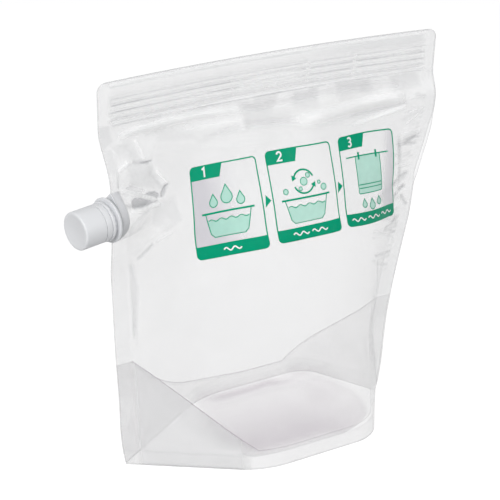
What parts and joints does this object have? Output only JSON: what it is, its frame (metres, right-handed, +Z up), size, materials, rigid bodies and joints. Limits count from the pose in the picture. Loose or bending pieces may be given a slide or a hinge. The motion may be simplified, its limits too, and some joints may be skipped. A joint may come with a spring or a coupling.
{
  "type": "laundry soaking pouch",
  "caption": "Clear stand-up film pouch with a folded bottom gusset, a press zip along its top edge and a drain spout with a screw cap welded into one side seal.",
  "frame": {"origin": "on the floor, under the middle of the object's box", "axes": "+Z up, X across the pouch with the spout at -X, the printed wall facing -Y"},
  "size_m": [0.364, 0.135, 0.378],
  "materials": {
    "film": "clear glossy film",
    "zip": "clear extruded tape",
    "moulding": "satin moulded",
    "lining": "foamed"
  },
  "bodies": {
    "bag": {"front_panel": "film", "back_panel": "film", "bottom_gusset": "film", "front_zip_tape": "zip", "back_zip_tape": "zip", "spout": "moulding", "tamper_band": "moulding"},
    "gasket": {"cap_gasket": "lining"},
    "cap": {"cap": "moulding"}
  },
  "joints": [
    {"name": "cap_lift", "type": "slide", "parent": "bag", "child": "gasket", "axis": [-0.9703, -0.2419, 0], "range_m": [0, 0.008]},
    {"name": "cap_turn", "type": "hinge", "parent": "gasket", "child": "cap", "pos_m": [-0.14271, -0.0121, 0.263], "axis": [-0.9703, -0.2419, 0], "range_deg": [0, 720]}
  ],
  "couplings": [
    {"joint": "cap_lift", "follows": "cap_turn", "m_per_rad": 0.0006366}
  ]
}
